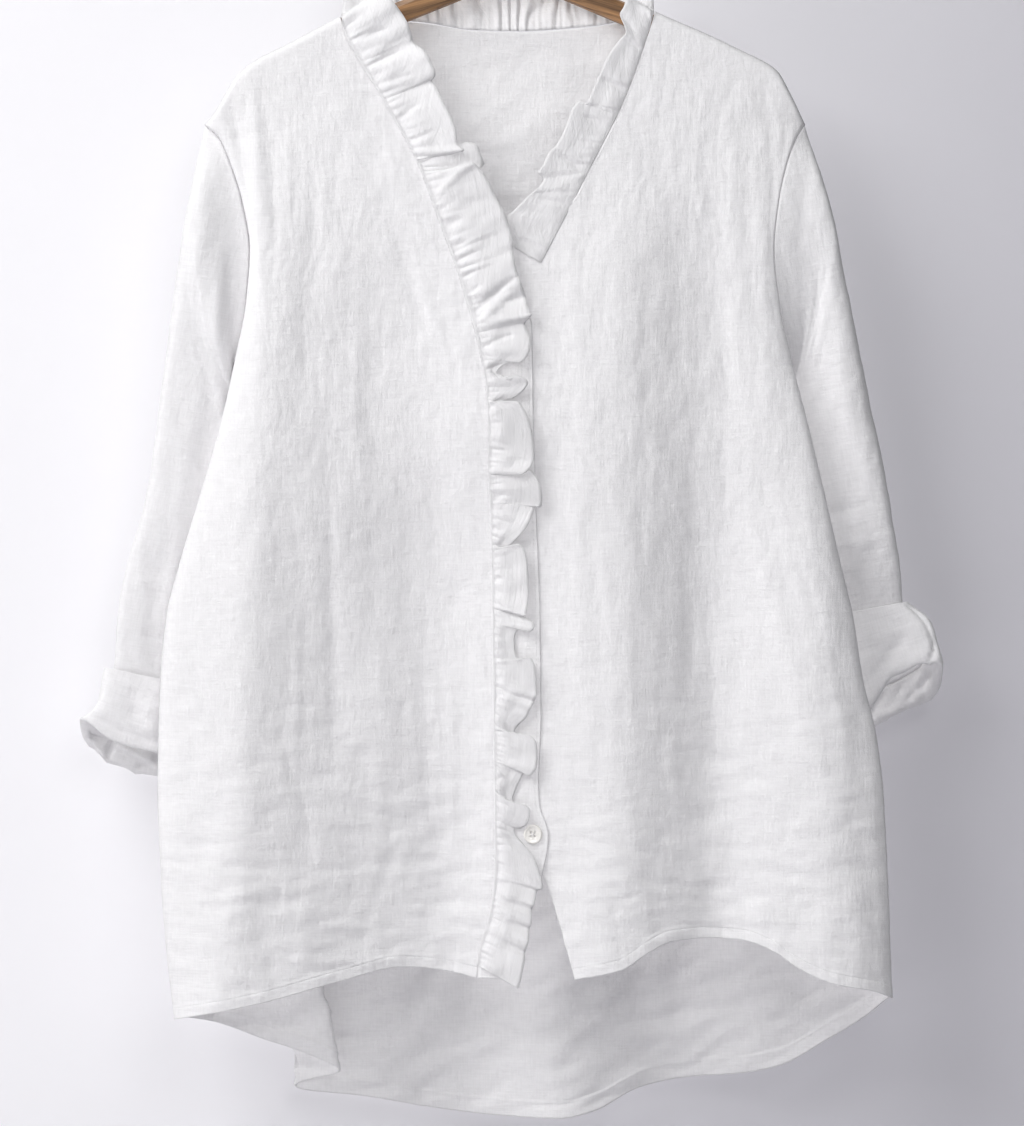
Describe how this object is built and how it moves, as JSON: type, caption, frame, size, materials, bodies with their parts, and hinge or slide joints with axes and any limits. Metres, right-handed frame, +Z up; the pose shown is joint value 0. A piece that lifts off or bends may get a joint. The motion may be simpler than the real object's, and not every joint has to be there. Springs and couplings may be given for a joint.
{
  "type": "tunic top on a hanger",
  "caption": "Long-sleeved V-neck linen tunic with a gathered frill along the neck and the front edge, rolled cuffs and a curved hem longer at the back, on a wooden hanger.",
  "frame": {"origin": "the inside of the hook's bend, where the hanger rests on its rail", "axes": "+Z up, the front faces -Y, the wearer's right side is at -X"},
  "size_m": [0.6465, 0.1273, 0.9576],
  "materials": {
    "linen": "matt, soft, lightly crinkled plain weave",
    "shell_button": "soft satin",
    "wood": "thinly varnished, fine grain along the arms",
    "steel": "polished wire"
  },
  "bodies": {
    "root": {"front_right": "linen", "front_left": "linen", "back": "linen", "sleeve_right": "linen", "sleeve_left": "linen", "cuff_right": "linen", "cuff_left": "linen", "band": "linen", "frill_right": "linen", "frill_left": "linen", "frill_back": "linen", "button_1": "shell_button", "button_2": "shell_button", "button_3": "shell_button", "button_4": "shell_button", "button_5": "shell_button", "button_6": "shell_button", "button_7": "shell_button", "hanger_wood": "wood", "hanger_hook": "steel"}
  },
  "joints": []
}
